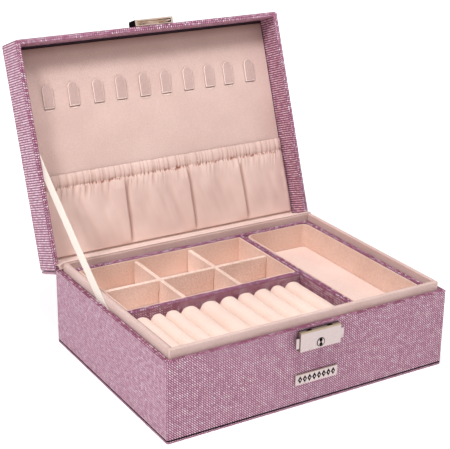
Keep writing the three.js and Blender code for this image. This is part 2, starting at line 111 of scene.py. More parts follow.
def make_camera():
    """The photo's camera, from the perspective of the case's straight edges."""
    forward = Vector(CAMERA_FORWARD).normalized()
    side = forward.cross(Vector((0, 0, 1))).normalized()
    up = side.cross(forward)
    up = up * math.cos(CAMERA_ROLL) + side * math.sin(CAMERA_ROLL)
    side = forward.cross(up)
    turn = Matrix((side, up, -forward)).transposed().to_4x4()
    data = bpy.data.cameras.new("camera")
    data.sensor_width = 36
    data.lens = CAMERA_LENS
    camera = bpy.data.objects.new("camera", data)
    camera.matrix_world = Matrix.Translation(Vector(CAMERA_POSITION)) @ turn
    bpy.context.scene.collection.objects.link(camera)
    bpy.context.scene.camera = camera


def area_light(name, position, target, size, energy):
    """A square area light: its place and target in metres, its side in metres and its power in watts."""
    data = bpy.data.lights.new(name, "AREA")
    data.shape = "RECTANGLE"
    data.size, data.size_y = size, size
    data.energy = energy
    light = bpy.data.objects.new(name, data)
    direction = Vector(target) - Vector(position)
    light.matrix_world = (Matrix.Translation(position)
                          @ direction.to_track_quat("-Z", "Y").to_matrix().to_4x4())
    bpy.context.scene.collection.objects.link(light)


def make_light():
    world = bpy.data.worlds.new("studio")
    world.use_nodes = True
    background = world.node_tree.nodes["Background"]
    background.inputs["Color"].default_value = (1, 1, 1, 1)
    background.inputs["Strength"].default_value = 0.24
    bpy.context.scene.world = world
    bpy.context.scene.view_settings.view_transform = "Standard"
    area_light("key", (-1.05, -0.35, 1.25), (0, 0, 0.08), 0.35, 13)
    area_light("right fill", (0.9, -0.7, 0.8), (0, 0, 0.08), 0.8, 1.6)
    area_light("top", (0.0, -0.2, 1.3), (0, 0, 0.05), 0.6, 8)


FLOOR_HALF_SIZE = 40  # metres, so that its edge lies outside the photo's view
FLOOR_DROP = 0.0002  # metres, under the case's underside


def make_floor():
    """A white floor that glows more with distance, so that it stays white far from the case."""
    bm = bmesh.new()
    bmesh.ops.create_grid(bm, x_segments=2, y_segments=2, size=FLOOR_HALF_SIZE)
    mesh = bpy.data.meshes.new("floor")
    bm.to_mesh(mesh)
    bm.free()
    floor = bpy.data.objects.new("floor", mesh)
    bpy.context.scene.collection.objects.link(floor)
    floor.location.z = CAD_BOUNDS[0][2] - FLOOR_DROP
    g = Graph("floor")
    far = g.node("VectorMath", operation="LENGTH")
    g.link(g.place(), far.inputs[0])
    glow = g.ramp(far.outputs["Value"], (0.2, (0.5, 0.5, 0.5)), (0.75, (1, 1, 1)))
    g.set(base_color=srgb(250, 249, 249), roughness=0.7, emission_color=glow, emission_strength=0.9)
    mesh.materials.append(g.material)


# ---------------------------------------------------------------- node helpers
class Graph:
    """A short way to write a material's nodes."""

    def __init__(self, name):
        self.material = bpy.data.materials.new(name)
        self.material.use_nodes = True
        self.tree = self.material.node_tree
        self.shader = self.tree.nodes["Principled BSDF"]

    def node(self, kind, **settings):
        made = self.tree.nodes.new("ShaderNode" + kind)
        for key, value in settings.items():
            setattr(made, key, value)
        return made

    def link(self, source, target):
        if isinstance(source, (int, float)):
            target.default_value = source
        else:
            self.tree.links.new(source, target)

    def math(self, operation, *values):
        made = self.node("Math", operation=operation)
        for value, socket in zip(values, made.inputs):
            self.link(value, socket)
        return made.outputs[0]

    def ramp(self, value, *stops):
        """A colour ramp; each stop is (position, colour)."""
        made = self.node("ValToRGB")
        ramp = made.color_ramp
        while len(ramp.elements) < len(stops):
            ramp.elements.new(0.5)
        for element, (position, colour) in zip(ramp.elements, stops):
            element.position = position
            element.color = colour if len(colour) == 4 else (*colour, 1)
        self.link(value, made.inputs[0])
        return made.outputs[0]

    def rise(self, value, low, high, top=1.0):
        """0 under low, top over high, and a straight line between them."""
        return self.ramp(value, (low, (0, 0, 0)), (high, (top, top, top)))

    def fall(self, value, low, high):
        """1 under low, 0 over high, and a straight line between them."""
        return self.ramp(value, (low, (1, 1, 1)), (high, (0, 0, 0)))

    def blend(self, factor, a, b, mode="MIX"):
        made = self.node("Mix", data_type="RGBA", blend_type=mode)
        self.link(factor, made.inputs["Factor"])
        for value, socket in ((a, made.inputs[6]), (b, made.inputs[7])):
            if isinstance(value, tuple):
                socket.default_value = value
            else:
                self.tree.links.new(value, socket)
        return made.outputs[2]

    def noise(self, scale, detail=2.0, vector=None):
        made = self.node("TexNoise")
        made.inputs["Scale"].default_value = scale
        made.inputs["Detail"].default_value = detail
        self.tree.links.new(vector or self.place(), made.inputs["Vector"])
        return made.outputs["Fac"]

    def place(self):
        """The point in the piece's own space, in metres."""
        return self.node("TexCoord").outputs["Object"]

    def stretched(self, scale):
        """The point in the piece's own space, scaled along each axis, for patterns longer one way."""
        made = self.node("Mapping")
        made.inputs["Scale"].default_value = scale
        self.tree.links.new(self.place(), made.inputs["Vector"])
        return made.outputs["Vector"]

    def map_uv(self, name):
        """Both coordinates of a UV map."""
        parts = self.node("SeparateXYZ")
        self.link(self.node("UVMap", uv_map=name).outputs["UV"], parts.inputs[0])
        return parts.outputs[0], parts.outputs[1]

    def chance(self, u, v):
        """A random number from 0 to 1 for every bead, where u and v count beads."""
        cell = self.node("CombineXYZ")
        self.link(self.math("ROUND", u), cell.inputs[0])
        self.link(self.math("ROUND", v), cell.inputs[1])
        random_cell = self.node("TexWhiteNoise", noise_dimensions="3D")
        self.link(cell.outputs[0], random_cell.inputs["Vector"])
        return random_cell.outputs["Value"]

    def bump(self, height, distance, strength=1.0):
        made = self.node("Bump")
        made.inputs["Distance"].default_value = distance
        made.inputs["Strength"].default_value = strength
        self.link(height, made.inputs["Height"])
        return made.outputs["Normal"]

    def set(self, **values):
        """Sets the shader's sockets: numbers and colours directly, outputs by a link."""
        for key, value in values.items():
            socket = self.shader.inputs[key.replace("_", " ").title().replace("Ior", "IOR")]
            if isinstance(value, (int, float, tuple)):
                socket.default_value = value
            else:
                self.tree.links.new(value, socket)
        return self.material


# ---------------------------------------------------------------- materials
BEAD_U = 2.05 * MM  # distance between beads across the ribs
BEAD_V = 1.97 * MM  # distance between beads along a rib


# Near-white for the glitter's painted glints.
PAINTED_GLINT = srgb(255, 236, 246)


def glitter_leatherette(name, rib, row, slant, clumping=0.55, clump_scale=430, dark=(112, 54, 82)):
    """Leatherette with glittering beads in a square grid; the UV map counts beads.

    Rib, row and slant say how strongly the beads join along their ribs, their rows and the slant between.
    Clumping says how strongly groups of beads are lit up by painted glints and darkened. The dark colour is
    the ground's.
    """
    g = Graph(name)
    u, v = g.map_uv("beads")

    def swell(value, size):
        return g.math("MULTIPLY", g.math("COSINE", g.math("MULTIPLY", value, 2 * math.pi)), size)

    ribs = g.math("ADD", swell(u, rib), swell(v, row))
    surface = g.math("ADD", g.math("ADD", ribs, swell(g.math("ADD", u, v), slant)), 0.42)
    dome = g.rise(surface, 0.1, 0.75)
    chance = g.chance(u, v)
    bead = g.ramp(chance, (0.0, srgb(214, 154, 180)), (0.6, srgb(234, 180, 204)), (0.9, srgb(246, 208, 226)),
                  (0.98, PAINTED_GLINT))
    # Pale flakes, the palest beads and bright clumps are painted glints of the glitter.
    flakes = g.noise(1700, 1.0)
    bead = g.blend(g.math("MULTIPLY", g.rise(flakes, 0.5, 0.7), 0.5), bead, PAINTED_GLINT)
    bead = g.blend(g.math("MULTIPLY", g.fall(flakes, 0.32, 0.48), 0.5), bead, srgb(168, 98, 130))
    clumps = g.noise(clump_scale, 2.0, g.stretched((1, 0.5, 1)))
    bead = g.blend(g.math("MULTIPLY", g.rise(clumps, 0.52, 0.62), clumping), bead, PAINTED_GLINT)
    hollow = g.fall(clumps, 0.38, 0.48)
    bead = g.blend(g.math("MULTIPLY", hollow, clumping * 0.9), bead, srgb(146, 78, 108))
    patches = g.noise(38, 2.0)
    colour = g.blend(dome, srgb(*dark), bead)
    colour = g.blend(g.math("MULTIPLY", patches, 0.12), colour, srgb(150, 90, 120))
    height = g.math("ADD", dome, g.math("MULTIPLY", flakes, 0.35))
    rough = g.math("ADD", 0.36, g.math("MULTIPLY", chance, 0.3))
    return g.set(base_color=colour, roughness=rough, metallic=0.1, normal=g.bump(height, 0.0003),
                 specular_ior_level=0.45)


def bead_row(name, scale, depth):
    """The bright raised rows of beads along the rims; the UV map counts beads along the row.

    Dark flakes of the given scale cover part of the beads, as strongly as depth says.
    """
    g = Graph(name)
    u, v = g.map_uv("beads")
    along = g.math("COSINE", g.math("MULTIPLY", v, 2 * math.pi))
    dome = g.math("ADD", g.math("MULTIPLY", along, 0.5), 0.5)
    # The palest beads are painted glints.
    bead = g.ramp(g.chance(u, v), (0.0, srgb(214, 152, 182)), (0.5, srgb(240, 190, 212)),
                  (0.8, srgb(255, 240, 248)))
    flakes = g.noise(scale, 1.0)
    bead = g.blend(g.rise(flakes, 0.44, 0.56, depth), bead, srgb(150, 74, 106))
    tone = g.blend(g.rise(dome, 0.25, 0.65), srgb(118, 56, 86), bead)
    height = g.math("ADD", dome, g.math("MULTIPLY", flakes, 0.3))
    return g.set(base_color=tone, roughness=0.4, metallic=0.1, normal=g.bump(height, 0.0003))


def velvet(name, colour, dark, sheen=0.3, grain=0.5, relief=0.8, pile=900, painted_shadow=None):
    """Short-pile velvet: a fine even nap, slow changes of shade, and sheen at grazing angles.

    The last argument, (plane, reach), paints a shadow: the velvet is darkened towards a warm brown, most at
    the plane and fading out at reach from it; the plane is given by the four numbers of its equation.
    """
    g = Graph(name)
    nap = g.noise(3600, 2.0)
    dents = g.noise(pile, 3.0)
    slow = g.noise(22, 2.0)
    shade = g.math("ADD", g.math("MULTIPLY", dents, grain), g.math("MULTIPLY", slow, 1.0 - grain))
    tone = g.ramp(shade, (0.36, dark), (0.62, colour))
    tone = g.blend(g.math("MULTIPLY", g.rise(nap, 0.4, 0.62), 0.18), tone, dark)
    # Painted shadow: the lid's front wall shades the panel near it.
    if painted_shadow:
        plane, reach = painted_shadow
        along = g.node("VectorMath", operation="DOT_PRODUCT")
        g.link(g.place(), along.inputs[0])
        along.inputs[1].default_value = plane[:3]
        distance = g.math("MULTIPLY", g.math("ADD", along.outputs["Value"], plane[3]), 1 / reach)
        painted_shadow_amount = g.ramp(distance, (0.0, (0.95, 0.95, 0.95)), (0.35, (0.38, 0.38, 0.38)), (1.0, (0, 0, 0)))
        tone = g.blend(painted_shadow_amount, tone, srgb(126, 88, 76))
    height = g.math("ADD", g.math("MULTIPLY", nap, 0.5), dents)
    g.set(base_color=tone, roughness=0.92, normal=g.bump(height, 0.0004, relief), sheen_weight=sheen,
          sheen_roughness=0.45)
    g.shader.inputs["Sheen Tint"].default_value = srgb(255, 240, 234)
    return g.material


def pocket_cloth():
    """Soft brushed cloth with a fine slanting weave; painted shade darkens its puckers and hollows, and its
    seam has dark stitches.
    """
    g = Graph("pocket_cloth")
    wave = g.node("TexWave", wave_type="BANDS", bands_direction="DIAGONAL")
    wave.inputs["Scale"].default_value = 950
    wave.inputs["Distortion"].default_value = 1.2
    g.link(g.place(), wave.inputs["Vector"])
    fuzz = g.noise(3800, 2.0)
    slow = g.noise(30, 2.0)
    tone = g.ramp(slow, (0.35, srgb(221, 191, 181)), (0.68, srgb(235, 207, 197)))
    tone = g.blend(g.math("MULTIPLY", fuzz, 0.14), tone, srgb(206, 164, 152))
    # The hollow attribute is painted shade in the cloth's hollows, plus the seam's dark stitches.
    hollow = g.node("Attribute", attribute_name="hollow")
    tone = g.blend(hollow.outputs["Fac"], tone, srgb(172, 112, 88), "MULTIPLY")
    height = g.math("ADD", g.math("MULTIPLY", wave.outputs["Fac"], 0.5), fuzz)
    g.set(base_color=tone, roughness=0.78, normal=g.bump(height, 0.00012, 0.5), sheen_weight=0.3,
          sheen_roughness=0.4)
    return g.material


def woven_ribbon():
    """Fine threads along and across the ribbon; the UV map counts threads."""
    g = Graph("woven_ribbon")
    u, v = g.map_uv("weave")
    threads = g.math("SINE", g.math("MULTIPLY", v, 2 * math.pi))
    warp = g.math("SINE", g.math("MULTIPLY", u, 2 * math.pi))
    weave = g.math("MULTIPLY", g.math("ADD", threads, g.math("MULTIPLY", warp, 0.6)), 0.5)
    tone = g.ramp(g.math("ADD", g.math("MULTIPLY", weave, 0.25), 0.5), (0.2, srgb(222, 206, 192)),
                  (0.8, srgb(246, 236, 226)))
    return g.set(base_color=tone, roughness=0.55, normal=g.bump(weave, 0.00008, 0.6), sheen_weight=0.25)


def plated(name, colour, rough=0.25, stretch=(1, 1, 12)):
    """Plated metal with fine brushing and faint smudges."""
    g = Graph(name)
    lines = g.noise(900, 3.0, g.stretched(stretch))
    smudge = g.noise(90, 3.0)
    tone = g.blend(g.math("MULTIPLY", smudge, 0.16), colour, tuple(0.8 * c for c in colour[:3]) + (1,))
    roughness = g.math("ADD", rough - 0.05, g.math("MULTIPLY", smudge, 0.14))
    return g.set(base_color=tone, metallic=1.0, roughness=roughness, normal=g.bump(lines, 0.00001, 0.2))


def plain_board(name, colour, dark):
    """A plain surface with a fine uneven grain."""
    g = Graph(name)
    grain = g.noise(900, 4.0)
    tone = g.ramp(grain, (0.35, dark), (0.7, colour))
    return g.set(base_color=tone, roughness=0.85, normal=g.bump(grain, 0.00015, 0.6))


def dark_recess():
    """The nearly black inside of gaps and holes."""
    g = Graph("dark_recess")
    tone = g.ramp(g.noise(700, 2.0), (0.3, srgb(8, 5, 6)), (0.8, srgb(22, 12, 16)))
    return g.set(base_color=tone, roughness=0.9, specular_ior_level=0.05)


def make_materials():
    # The panel's painted shadow falls from the plane of its front edge, in the pieces' own space.
    front_edge = shut_box("lid_panel")[0].y
    panel_shade = ((*UNLID[1][:3], UNLID[1][3] - front_edge), 26 * MM)
    return {
        "glitter": glitter_leatherette("glitter_leatherette", 0.24, 0.16, 0.44, 0.36),
        "ribbed": glitter_leatherette("ribbed_leatherette", 0.5, 0.14, 0.14),
        # The tray's ground colour is redder than the case's: painted warm light, bounced from the velvet.
        "tray_glitter": glitter_leatherette("tray_leatherette", 0.2, 0.2, 0.3, 0.72, 380, (120, 46, 60)),
        "bead_row": bead_row("bead_row", 430, 0.7),
        "tray_bead_row": bead_row("tray_bead_row", 330, 0.95),
        "velvet": velvet("velvet", srgb(248, 222, 212), srgb(234, 204, 194)),
        # A darker copy of the velvet for the collar: painted shade, as its outer faces stand in shade.
        "shaded_collar_velvet": velvet("shaded_collar_velvet", srgb(230, 202, 194), srgb(212, 180, 172)),
        "cell_velvet": velvet("cell_velvet", srgb(246, 216, 200), srgb(228, 192, 175), relief=1.0, pile=620),
        "divider_velvet": velvet("divider_velvet", srgb(255, 228, 214), srgb(226, 192, 176),
                                 relief=1.0, pile=620),
        "panel_velvet": velvet("panel_velvet", srgb(228, 199, 190), srgb(213, 182, 173), 0.2,
                               painted_shadow=panel_shade),
        "hook_velvet": velvet("hook_velvet", srgb(210, 181, 174), srgb(192, 162, 155), 0.1),
        # Pale velvet for the hooks' rims and lips: a painted highlight.
        "hook_painted_highlight": velvet("hook_painted_highlight", srgb(255, 242, 236), srgb(250, 230, 222), 0.5),
        "roll_velvet": velvet("roll_velvet", srgb(251, 226, 213), srgb(242, 212, 199), 0.15),
        "pocket": pocket_cloth(),
        "ribbon": woven_ribbon(),
        "nickel": plated("nickel", srgb(188, 174, 172)),
        "champagne": plated("champagne", srgb(212, 188, 160), 0.3),
        # A darker copy of the nickel: painted shade.
        "shaded_metal": plated("shaded_metal", srgb(184, 168, 158), 0.4),
        "hasp": plated("hasp", srgb(236, 216, 200), 0.42, (1, 1, 1)),
        "dark_metal": plated("dark_metal", srgb(74, 66, 66), 0.4),
        "spring_steel": plated("spring_steel", srgb(150, 150, 154), 0.3),
        "foam": plain_board("foam", srgb(240, 233, 220), srgb(220, 210, 196)),
        "groove": plain_board("groove", srgb(50, 24, 36), srgb(28, 12, 20)),
        "rim_valley": plain_board("rim_valley", srgb(132, 62, 98), srgb(96, 38, 68)),
        # Painted shade for the cuts under the hooks and the shadows beside them.
        "slit": plain_board("slit", srgb(150, 112, 100), srgb(112, 78, 70)),
        "recess": dark_recess(),
    }


# ---------------------------------------------------------------- mesh helpers
def paint(mesh, material):
    mesh.materials.clear()
    mesh.materials.append(material)


def new_object(name, mesh, material, matrix=SAME):
    obj = bpy.data.objects.new(name, mesh)
    bpy.context.scene.collection.objects.link(obj)
    mesh.transform(matrix)
    paint(mesh, material)
    return obj


def from_faces(name, verts, faces, material, matrix=SAME, smooth=True):
    mesh = bpy.data.meshes.new(name)
    mesh.from_pydata([tuple(v) for v in verts], [], faces)
    mesh.validate()
    mesh.polygons.foreach_set("use_smooth", [smooth] * len(mesh.polygons))
    return new_object(name, mesh, material, matrix)


def applied(obj):
    """Replaces the object's mesh by the result of its modifiers."""
    graph = bpy.context.evaluated_depsgraph_get()
    mesh = bpy.data.meshes.new_from_object(obj.evaluated_get(graph))
    obj.modifiers.clear()
    obj.data = mesh
    return obj


def bevelled(obj, width, segments=2):
    """Rounds the edges that turn by more than 30 degrees."""
    modifier = obj.modifiers.new("bevel", "BEVEL")
    modifier.width = width
    modifier.segments = segments
    modifier.limit_method = "ANGLE"
    modifier.angle_limit = math.radians(30)
    applied(obj)
    return smooth_by_angle(obj, 40)


def smooth_by_angle(obj, degrees):
    """Shades the object smooth, apart from edges that turn by more than the angle."""
    mesh = obj.data
    mesh.polygons.foreach_set("use_smooth", [True] * len(mesh.polygons))
    bm = bmesh.new()
    bm.from_mesh(mesh)
    limit = math.radians(degrees)
    for edge in bm.edges:
        edge.smooth = len(edge.link_faces) == 2 and edge.calc_face_angle(0) < limit
    bm.to_mesh(mesh)
    bm.free()
    weighted = obj.modifiers.new("weighted", "WEIGHTED_NORMAL")
    weighted.keep_sharp = True
    return applied(obj)


def refined(name, node, material, width=0.0005, segments=2):
    """A copy of a CAD node with its flat faces merged and its edges rounded over."""
    bm = bmesh.new()
    bm.from_mesh(NODES[node].data)
    bmesh.ops.remove_doubles(bm, verts=bm.verts, dist=1e-6)
    bmesh.ops.dissolve_limit(bm, angle_limit=math.radians(1), verts=bm.verts, edges=bm.edges)
    mesh = bpy.data.meshes.new(name)
    bm.to_mesh(mesh)
    bm.free()
    return bevelled(new_object(name, mesh, material), width, segments)


def bead_uv(obj, unswing=SAME):
    """A UV map that counts beads, to the right and up as each face is seen from outside."""
    mesh = obj.data
    layer = mesh.uv_layers.get("beads") or mesh.uv_layers.new(name="beads")
    rotate = unswing.to_3x3()
    for polygon in mesh.polygons:
        n = rotate @ polygon.normal
        axis = max(range(3), key=lambda i: abs(n[i]))
        first, second = ((1, 2), (0, 2), (0, 1))[axis]
        way = (1, -1, 1)[axis] * (1 if n[axis] > 0 else -1)
        for loop in polygon.loop_indices:
            p = unswing @ mesh.vertices[mesh.loops[loop].vertex_index].co
            layer.data[loop].uv = (way * p[first] / BEAD_U, p[second] / BEAD_V)
    return obj


def stand_for(piece, body, *nodes):
    """The piece rides on a body and stands for CAD nodes, which are hidden."""
    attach(piece, body)
    if nodes:
        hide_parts(*nodes)
    return piece


def tube_faces(rings, around):
    """Faces that join rings of points, and the two end caps."""
    faces = []
    for i in range(rings - 1):
        for j in range(around):
            k = (j + 1) % around
            a, b = i * around, (i + 1) * around
            faces.append((a + j, a + k, b + k, b + j))
    faces.append(tuple(reversed(range(around))))
    faces.append(tuple(range((rings - 1) * around, rings * around)))
    return faces


# ---------------------------------------------------------------- case
def box_faces(*boxes):
    """Vertices and faces of plain boxes, each given as its low and high corner."""
    verts, faces = [], []
    for lo, hi in boxes:
        start = len(verts)
        verts += [(x, y, z) for z in (lo[2], hi[2]) for y in (lo[1], hi[1]) for x in (lo[0], hi[0])]
        for quad in ((0, 2, 3, 1), (4, 5, 7, 6), (0, 1, 5, 4), (2, 6, 7, 3), (0, 4, 6, 2), (1, 3, 7, 5)):
            faces.append(tuple(start + i for i in quad))
    return verts, faces


def frame_boxes(outer, inner, zs):
    """Four boxes that make a rectangular frame; outer and inner are ((x0, x1), (y0, y1))."""
    (x0, x1), (y0, y1) = outer
    (a0, a1), (b0, b1) = inner
    z0, z1 = zs
    return [((x0, y0, z0), (x1, b0, z1)), ((x0, b1, z0), (x1, y1, z1)),
            ((x0, b0, z0), (a0, b1, z1)), ((a1, b0, z0), (x1, b1, z1))]


ROW_HALF = 0.85 * MM  # half the width of a row of beads
ROW_ROOT = 0.12 * MM  # how deep a row's edges lie in the rim
RIM_CROWN = 0.13 * MM  # the height of the rows that meet when the lid is shut


def bead_rows(name, body, material, rows, matrix=SAME, crown=0.54 * MM):
    """Raised rows of beads along rims, crown high. Each row is a rectangle (x0, x1, y0, y1, z, way up)."""
    verts, faces, uvs = [], [], []
    around = 7
    for number, (x0, x1, y0, y1, z, up) in enumerate(rows):
        start = len(verts)
        corners = ((x0, y0, -1, -1), (x1, y0, 1, -1), (x1, y1, 1, 1), (x0, y1, -1, 1))
        for corner_x, corner_y, sx, sy in corners:
            for j in range(around):
                a = math.pi * j / (around - 1)
                out = -ROW_HALF * math.cos(a)
                rise = (crown + ROW_ROOT) * math.sin(a) - ROW_ROOT
                verts.append((corner_x + sx * out, corner_y + sy * out, z + up * rise))
        for side in range(4):
            nxt = (side + 1) % 4
            length = (x1 - x0, y1 - y0)[side % 2] / BEAD_V
            for j in range(around):
                k = (j + 1) % around
                a, b = start + side * around, start + nxt * around
                quad = (a + j, b + j, b + k, a + k)
                cross = [0.75 * (i / (around - 1) - 0.5) for i in (j, j, k, k)]
                run = (0, length, length, 0)
                pairs = [(3 * number + side * 40 + c, r) for c, r in zip(cross, run)]
                if up < 0:
                    quad, pairs = quad[::-1], pairs[::-1]
                faces.append(quad)
                uvs.extend(pairs)
    piece = from_faces(name, verts, faces, material, matrix)
    layer = piece.data.uv_layers.new(name="beads")
    for loop, pair in zip(layer.data, uvs):
        loop.uv = pair
    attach(smooth_by_angle(piece, 50), body)


def darken_rim(piece, mats, up, unswing=SAME):
    """Gives the top of a covered rim the dark colour that shows between its rows of beads."""
    piece.data.materials.append(mats["rim_valley"])
    rotate = unswing.to_3x3()
    level = max(up * (unswing @ v.co).z for v in piece.data.vertices)
    for polygon in piece.data.polygons:
        z = up * (unswing @ polygon.center).z
        if up * (rotate @ polygon.normal).z > 0.9 and z > level - 0.5 * MM:
            polygon.material_index = 1


ROW_PLACE = 0.27  # where a row lies on a rim or wall, as a share of its width


def rim_rows(x, y, width, z, up):
    """Two rows along a rectangular rim with outer half-sizes x and y."""
    rows = []
    for inward in (ROW_PLACE * width, (1 - ROW_PLACE) * width):
        rows.append((inward - x, x - inward, inward - y, y - inward, z, up))
    return rows


def wall_rows(lo, hi):
    """One row around the top of a straight wall, given by its low and high corner."""
    edge = ROW_PLACE * min(hi.x - lo.x, hi.y - lo.y)
    return [(lo.x + edge, hi.x - edge, lo.y + edge, hi.y - edge, hi.z, 1)]


def rounded_ring(half, radius, width, zs):
    """An upright ring with rounded corners: half sizes, corner radius, width inwards, and its two heights."""
    outline = []
    steps = 6
    for quarter, (sx, sy) in enumerate(((1, 1), (-1, 1), (-1, -1), (1, -1))):
        for i in range(steps + 1):
            a = math.pi / 2 * (quarter + i / steps)
            centre = (sx * (half[0] - radius), sy * (half[1] - radius))
            outline.append((centre, (math.cos(a), math.sin(a)), (sx, sy)))
    verts, faces = [], []
    for centre, way, signs in outline:
        outer = [c + radius * w for c, w in zip(centre, way)]
        inner = [s * (h - width) for s, h in zip(signs, half)]
        verts += [(*outer, zs[0]), (*outer, zs[1]), (*inner, zs[1]), (*inner, zs[0])]
    count = len(outline)
    for i in range(count):
        a, b = 4 * i, 4 * ((i + 1) % count)
        for j in range(4):
            k = (j + 1) % 4
            faces.append((a + j, b + j, b + k, a + k))
    return verts, faces


def build_case(mats):
    for node, width, material in (("base_board", 0.4 * MM, "glitter"), ("case_walls", 0.7 * MM, "glitter")):
        piece = refined(node + "_cover", node, mats[material], width, 3)
        bead_uv(piece)
        if node == "case_walls":
            darken_rim(piece, mats, 1)
        stand_for(piece, "case", node)
    lo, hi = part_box("case_walls")
    rows = rim_rows(hi.x, hi.y, 4.7 * MM, hi.z, 1)
    bead_rows("case_rim_beads", "case", mats["tray_bead_row"], rows, crown=RIM_CROWN)
    paint(NODES["floor_board"].data, mats["groove"])
    lo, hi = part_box("base_board")
    # A nearly black ring over the groove between the base and the walls, wider than the groove: painted
    # shade.
    seam = rounded_ring((hi.x, hi.y), 2.1 * MM, 4 * MM, (hi.z - 0.2 * MM, hi.z + 1.3 * MM))
    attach(bevelled(from_faces("base_groove_painted_shade", *seam, mats["recess"], smooth=False), 0.1 * MM), "case")
    for node in ("collar_front", "collar_back", "collar_left", "collar_right"):
        stand_for(refined(node + "_velvet", node, mats["shaded_collar_velvet"], 0.9 * MM, 3), "case", node)
    for node in ("lower_floor_pad", "tray_ledge_left", "tray_ledge_right"):
        piece = stand_for(refined(node + "_velvet", node, mats["velvet"], 0.6 * MM, 3), "case", node)


# ---------------------------------------------------------------- tray
def build_tray(mats):
    for node in ("tray_shell", "long_divider", "ring_divider"):
        piece = refined(node + "_cover", node, mats["tray_glitter"], 0.6 * MM, 2)
        bead_uv(piece)
        darken_rim(piece, mats, 1)
        stand_for(piece, "tray", node)
    lo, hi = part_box("tray_shell")
    bead_rows("tray_rim_beads", "tray", mats["tray_bead_row"], rim_rows(hi.x, hi.y, 5 * MM, hi.z, 1))
    for node in ("long_divider", "ring_divider"):
        lo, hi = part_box(node)
        bead_rows(node + "_beads", "tray", mats["tray_bead_row"], wall_rows(lo, hi))
    for node in ("cell_liner", "right_liner"):
        stand_for(refined(node + "_velvet", node, mats["cell_velvet"], 0.3 * MM, 2), "tray", node)
    for node in ("cell_divider_left", "cell_divider_right", "cell_cross_divider"):
        stand_for(refined(node + "_velvet", node, mats["divider_velvet"], 0.55 * MM, 3), "tray", node)
    for node in ("cell_floor_pad", "right_floor_pad"):
        pad = refined(node + "_velvet", node, mats["velvet"], 0.5 * MM, 3)
        stand_for(pad, "tray", node)
    for i in range(1, 11):
        build_roll(f"ring_roll_{i:02d}", i, mats)


ROLL_WIDTHS = (14.2, 12.9, 13.0, 17.2, 18.4, 16.5, 15.0, 16.0, 14.2, 14.8)  # mm, as the foam has settled
ROLL_GAP = 0.4 * MM
ROLL_DOME = 5.5 * MM  # how far the domed ends reach along a roll


def build_roll(node, index, mats):
    """A foam roll in velvet: straight sides, a round top and domed ends, a little uneven as foam is."""
    lo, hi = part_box(node)
    around, rings = 48, 40
    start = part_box("ring_roll_01")[0].x
    left = start + sum(ROLL_WIDTHS[:index - 1]) * MM
    right = left + ROLL_WIDTHS[index - 1] * MM - ROLL_GAP
    half = (right - left) / 2
    centre_x = (left + right) / 2
    crown = hi.z + 0.12 * (right - left - (hi.x - lo.x))
    crown += 0.5 * MM * noise.noise(Vector((index * 5.3, 0.2, 0.7)))
    middle = crown - half
    verts = []
    for i in range(rings):
        t = 0.5 - 0.5 * math.cos(math.pi * i / (rings - 1))
        y = lo.y + (hi.y - lo.y) * t
        edge = min(y - lo.y, hi.y - y)
        shrink = 1 if edge >= ROLL_DOME else math.sqrt(max(0.0, 1 - (1 - edge / ROLL_DOME) ** 2))
        shrink = 0.3 + 0.7 * shrink
        for j in range(around):
            a = 2 * math.pi * j / around
            dx, dz = math.cos(a), math.sin(a)
            x = half * math.copysign(abs(dx) ** (0.9 if dz > 0 else 0.5), dx)
            top = dz > 0
            z_half = half if top else middle - lo.z
            z = z_half * (dz if top else math.copysign(abs(dz) ** 0.3, dz))
            wobble = 0.45 * MM * noise.noise(Vector((index * 3.1 + dx, y * 45, dz)))
            verts.append((centre_x + x * shrink * 0.988 + 0.4 * wobble, y,
                          middle + z * (shrink if top else 1) + (wobble if top else 0)))
    piece = from_faces(node + "_velvet", verts, tube_faces(rings, around), mats["roll_velvet"])
    stand_for(piece, "tray", node)


# ---------------------------------------------------------------- lid
def build_lid(mats):
    shell = refined("lid_cover", "lid_shell", mats["ribbed"], 0.9 * MM, 3)
    bead_uv(shell, UNLID)
    darken_rim(shell, mats, -1, UNLID)
    stand_for(shell, "lid", "lid_shell")
    lo, hi = shut_box("lid_shell")
    rows = rim_rows(hi.x, hi.y, 4.2 * MM, lo.z, -1)
    bead_rows("lid_rim_beads", "lid", mats["bead_row"], rows, LID, RIM_CROWN)
    spine = refined("lid_spine_cover", "lid_spine_board", mats["glitter"], 1.3 * MM, 4)
    bead_uv(spine, UNLID)
    stand_for(spine, "lid", "lid_spine_board")
    build_panel(mats)
    for i in range(1, 11):
        build_hook(f"necklace_hook_{i:02d}", mats)
    for node in ("lid_pad", "pocket_elastic"):
        paint(NODES[node].data, mats["foam"])
    build_pocket(mats)


POCKET_CREASES = ((-44, -47), (17, 17.5), (71, 72.5))  # mm, x at the seam and at the bottom
POCKET_LENGTH = 68.5  # mm
HEADER = 10.0  # mm, the ruched channel along the pocket's top edge
STITCH_LINE = 11.3  # mm under the top edge


def ruche(x_mm, seed, pitch=4.6):
    """Small gathers with uneven spacing and narrow valleys, from -1 to 1."""
    shift = 1.6 * noise.noise(Vector((x_mm * 0.09, seed, 0.3)))
    shift += 0.7 * noise.noise(Vector((x_mm * 0.31, seed, 4.1)))
    return 2 * abs(math.sin(math.pi * (x_mm / pitch + shift))) ** 0.7 - 1


